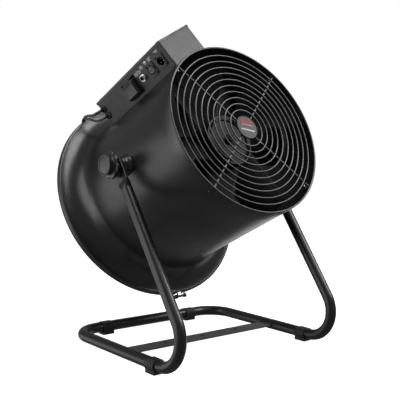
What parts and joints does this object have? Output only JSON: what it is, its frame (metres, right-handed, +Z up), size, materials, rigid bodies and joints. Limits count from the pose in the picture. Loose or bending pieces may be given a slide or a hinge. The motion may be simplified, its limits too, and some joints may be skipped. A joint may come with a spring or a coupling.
{
  "type": "stage wind machine",
  "caption": "Axial fan in a steel drum with a flared inlet bell and wire guards, tilting in a bent tube stand, with a control box on top.",
  "frame": {"origin": "on the floor, at the centre of the outline's footprint", "axes": "+Z up, -Y towards the air outlet, +X to the machine's left as seen from the front"},
  "size_m": [0.512, 0.563, 0.7292],
  "materials": {
    "black_tube": "black powder coat, semi-gloss",
    "grey_bar": "dark grey powder coat, matt",
    "black_rubber": "moulded rubber, matt",
    "black_sheet": "black paint, satin",
    "black_wire": "black powder coat, satin",
    "badge": "dark grey enamel",
    "zinc": "zinc plated",
    "cast_alloy": "cast, as cast",
    "copper": "enamelled copper wire",
    "bright_steel": "nickel plated",
    "box_paint": "black powder coat, fine texture",
    "board": "green solder mask",
    "contact": "gold plated",
    "can": "drawn can",
    "white_plastic": "natural",
    "black_plastic": "moulded, fine texture",
    "hub_paint": "dark grey paint",
    "cable_jacket": "PVC jacket, satin"
  },
  "bodies": {
    "stand": {"stand_tube": "black_tube", "cross_bar": "grey_bar", "foot_front_left": "black_rubber", "foot_front_right": "black_rubber", "foot_rear_left": "black_rubber", "foot_rear_right": "black_rubber"},
    "impeller": {"impeller_hub": "hub_paint", "impeller_blades": "black_plastic", "motor_shaft": "zinc", "motor_rotor": "cast_alloy", "hub_nut": "zinc"},
    "knob_left": {"knob_left": "black_plastic"},
    "knob_right": {"knob_right": "black_plastic"},
    "inlet_lid": {"inlet_lid": "black_plastic"},
    "data_latch": {"data_out_latch": "bright_steel"},
    "drum": {"drum_shell": "black_sheet", "inlet_bell": "black_sheet", "rear_ring": "black_sheet", "clamp_band": "black_sheet", "clamp_bolt": "zinc", "clamp_nut": "zinc", "rear_guard": "black_wire", "front_guard": "black_wire", "guard_badge": "badge", "guard_screws": "zinc", "guard_nuts": "zinc", "pivot_bosses": "black_sheet", "tilt_washers": "black_rubber", "motor_bracket": "black_sheet", "motor_casing": "cast_alloy", "motor_front_cap": "cast_alloy", "motor_rear_cap": "cast_alloy", "motor_stator": "zinc", "motor_windings": "copper", "motor_bearings": "bright_steel", "control_box": "box_paint", "box_lid": "box_paint", "box_screws": "zinc", "box_tray": "zinc", "circuit_board": "board", "board_spacers": "contact", "power_module": "cast_alloy", "run_capacitor": "can", "terminal_block": "white_plastic", "data_in": "black_plastic", "data_in_pins": "contact", "data_out": "black_plastic", "data_out_contacts": "contact", "connector_screws": "bright_steel", "remote_jack": "black_plastic", "jack_nut": "bright_steel", "status_led": "white_plastic", "mains_inlet": "black_plastic", "inlet_pins": "contact", "lid_pin": "zinc", "cable_grommets": "black_rubber", "motor_glands": "black_rubber", "motor_cable": "cable_jacket", "speed_cable": "cable_jacket", "cable_ties": "black_plastic"}
  },
  "joints": [
    {"name": "drum_tilt", "type": "hinge", "parent": "stand", "child": "drum", "pos_m": [0, -0.0266, 0.419], "axis": [-1, 0, 0], "range_deg": [-115.5, 54.5]},
    {"name": "fan_spin", "type": "hinge", "parent": "drum", "child": "impeller", "pos_m": [0, -0.02487, 0.42261], "axis": [0, -0.9026, 0.4305], "continuous": true},
    {"name": "knob_left_turn", "type": "hinge", "parent": "drum", "child": "knob_left", "pos_m": [-0.24, -0.0266, 0.419], "axis": [-1, 0, 0], "range_deg": [0, 360]},
    {"name": "knob_right_turn", "type": "hinge", "parent": "drum", "child": "knob_right", "pos_m": [0.24, -0.0266, 0.419], "axis": [1, 0, 0], "range_deg": [0, 360]},
    {"name": "inlet_lid_swing", "type": "hinge", "parent": "drum", "child": "inlet_lid", "pos_m": [-0.17371, 0.01689, 0.60309], "axis": [0, 0.9026, -0.4305], "range_deg": [0, 110], "stiffness_Nm_per_rad": 0.012, "springref_deg": -40.11},
    {"name": "data_latch_press", "type": "slide", "parent": "drum", "child": "data_latch", "axis": [0.866, 0.2153, 0.4513], "range_m": [0, 0.002], "stiffness_N_per_m": 400, "springref_m": -0.002}
  ]
}
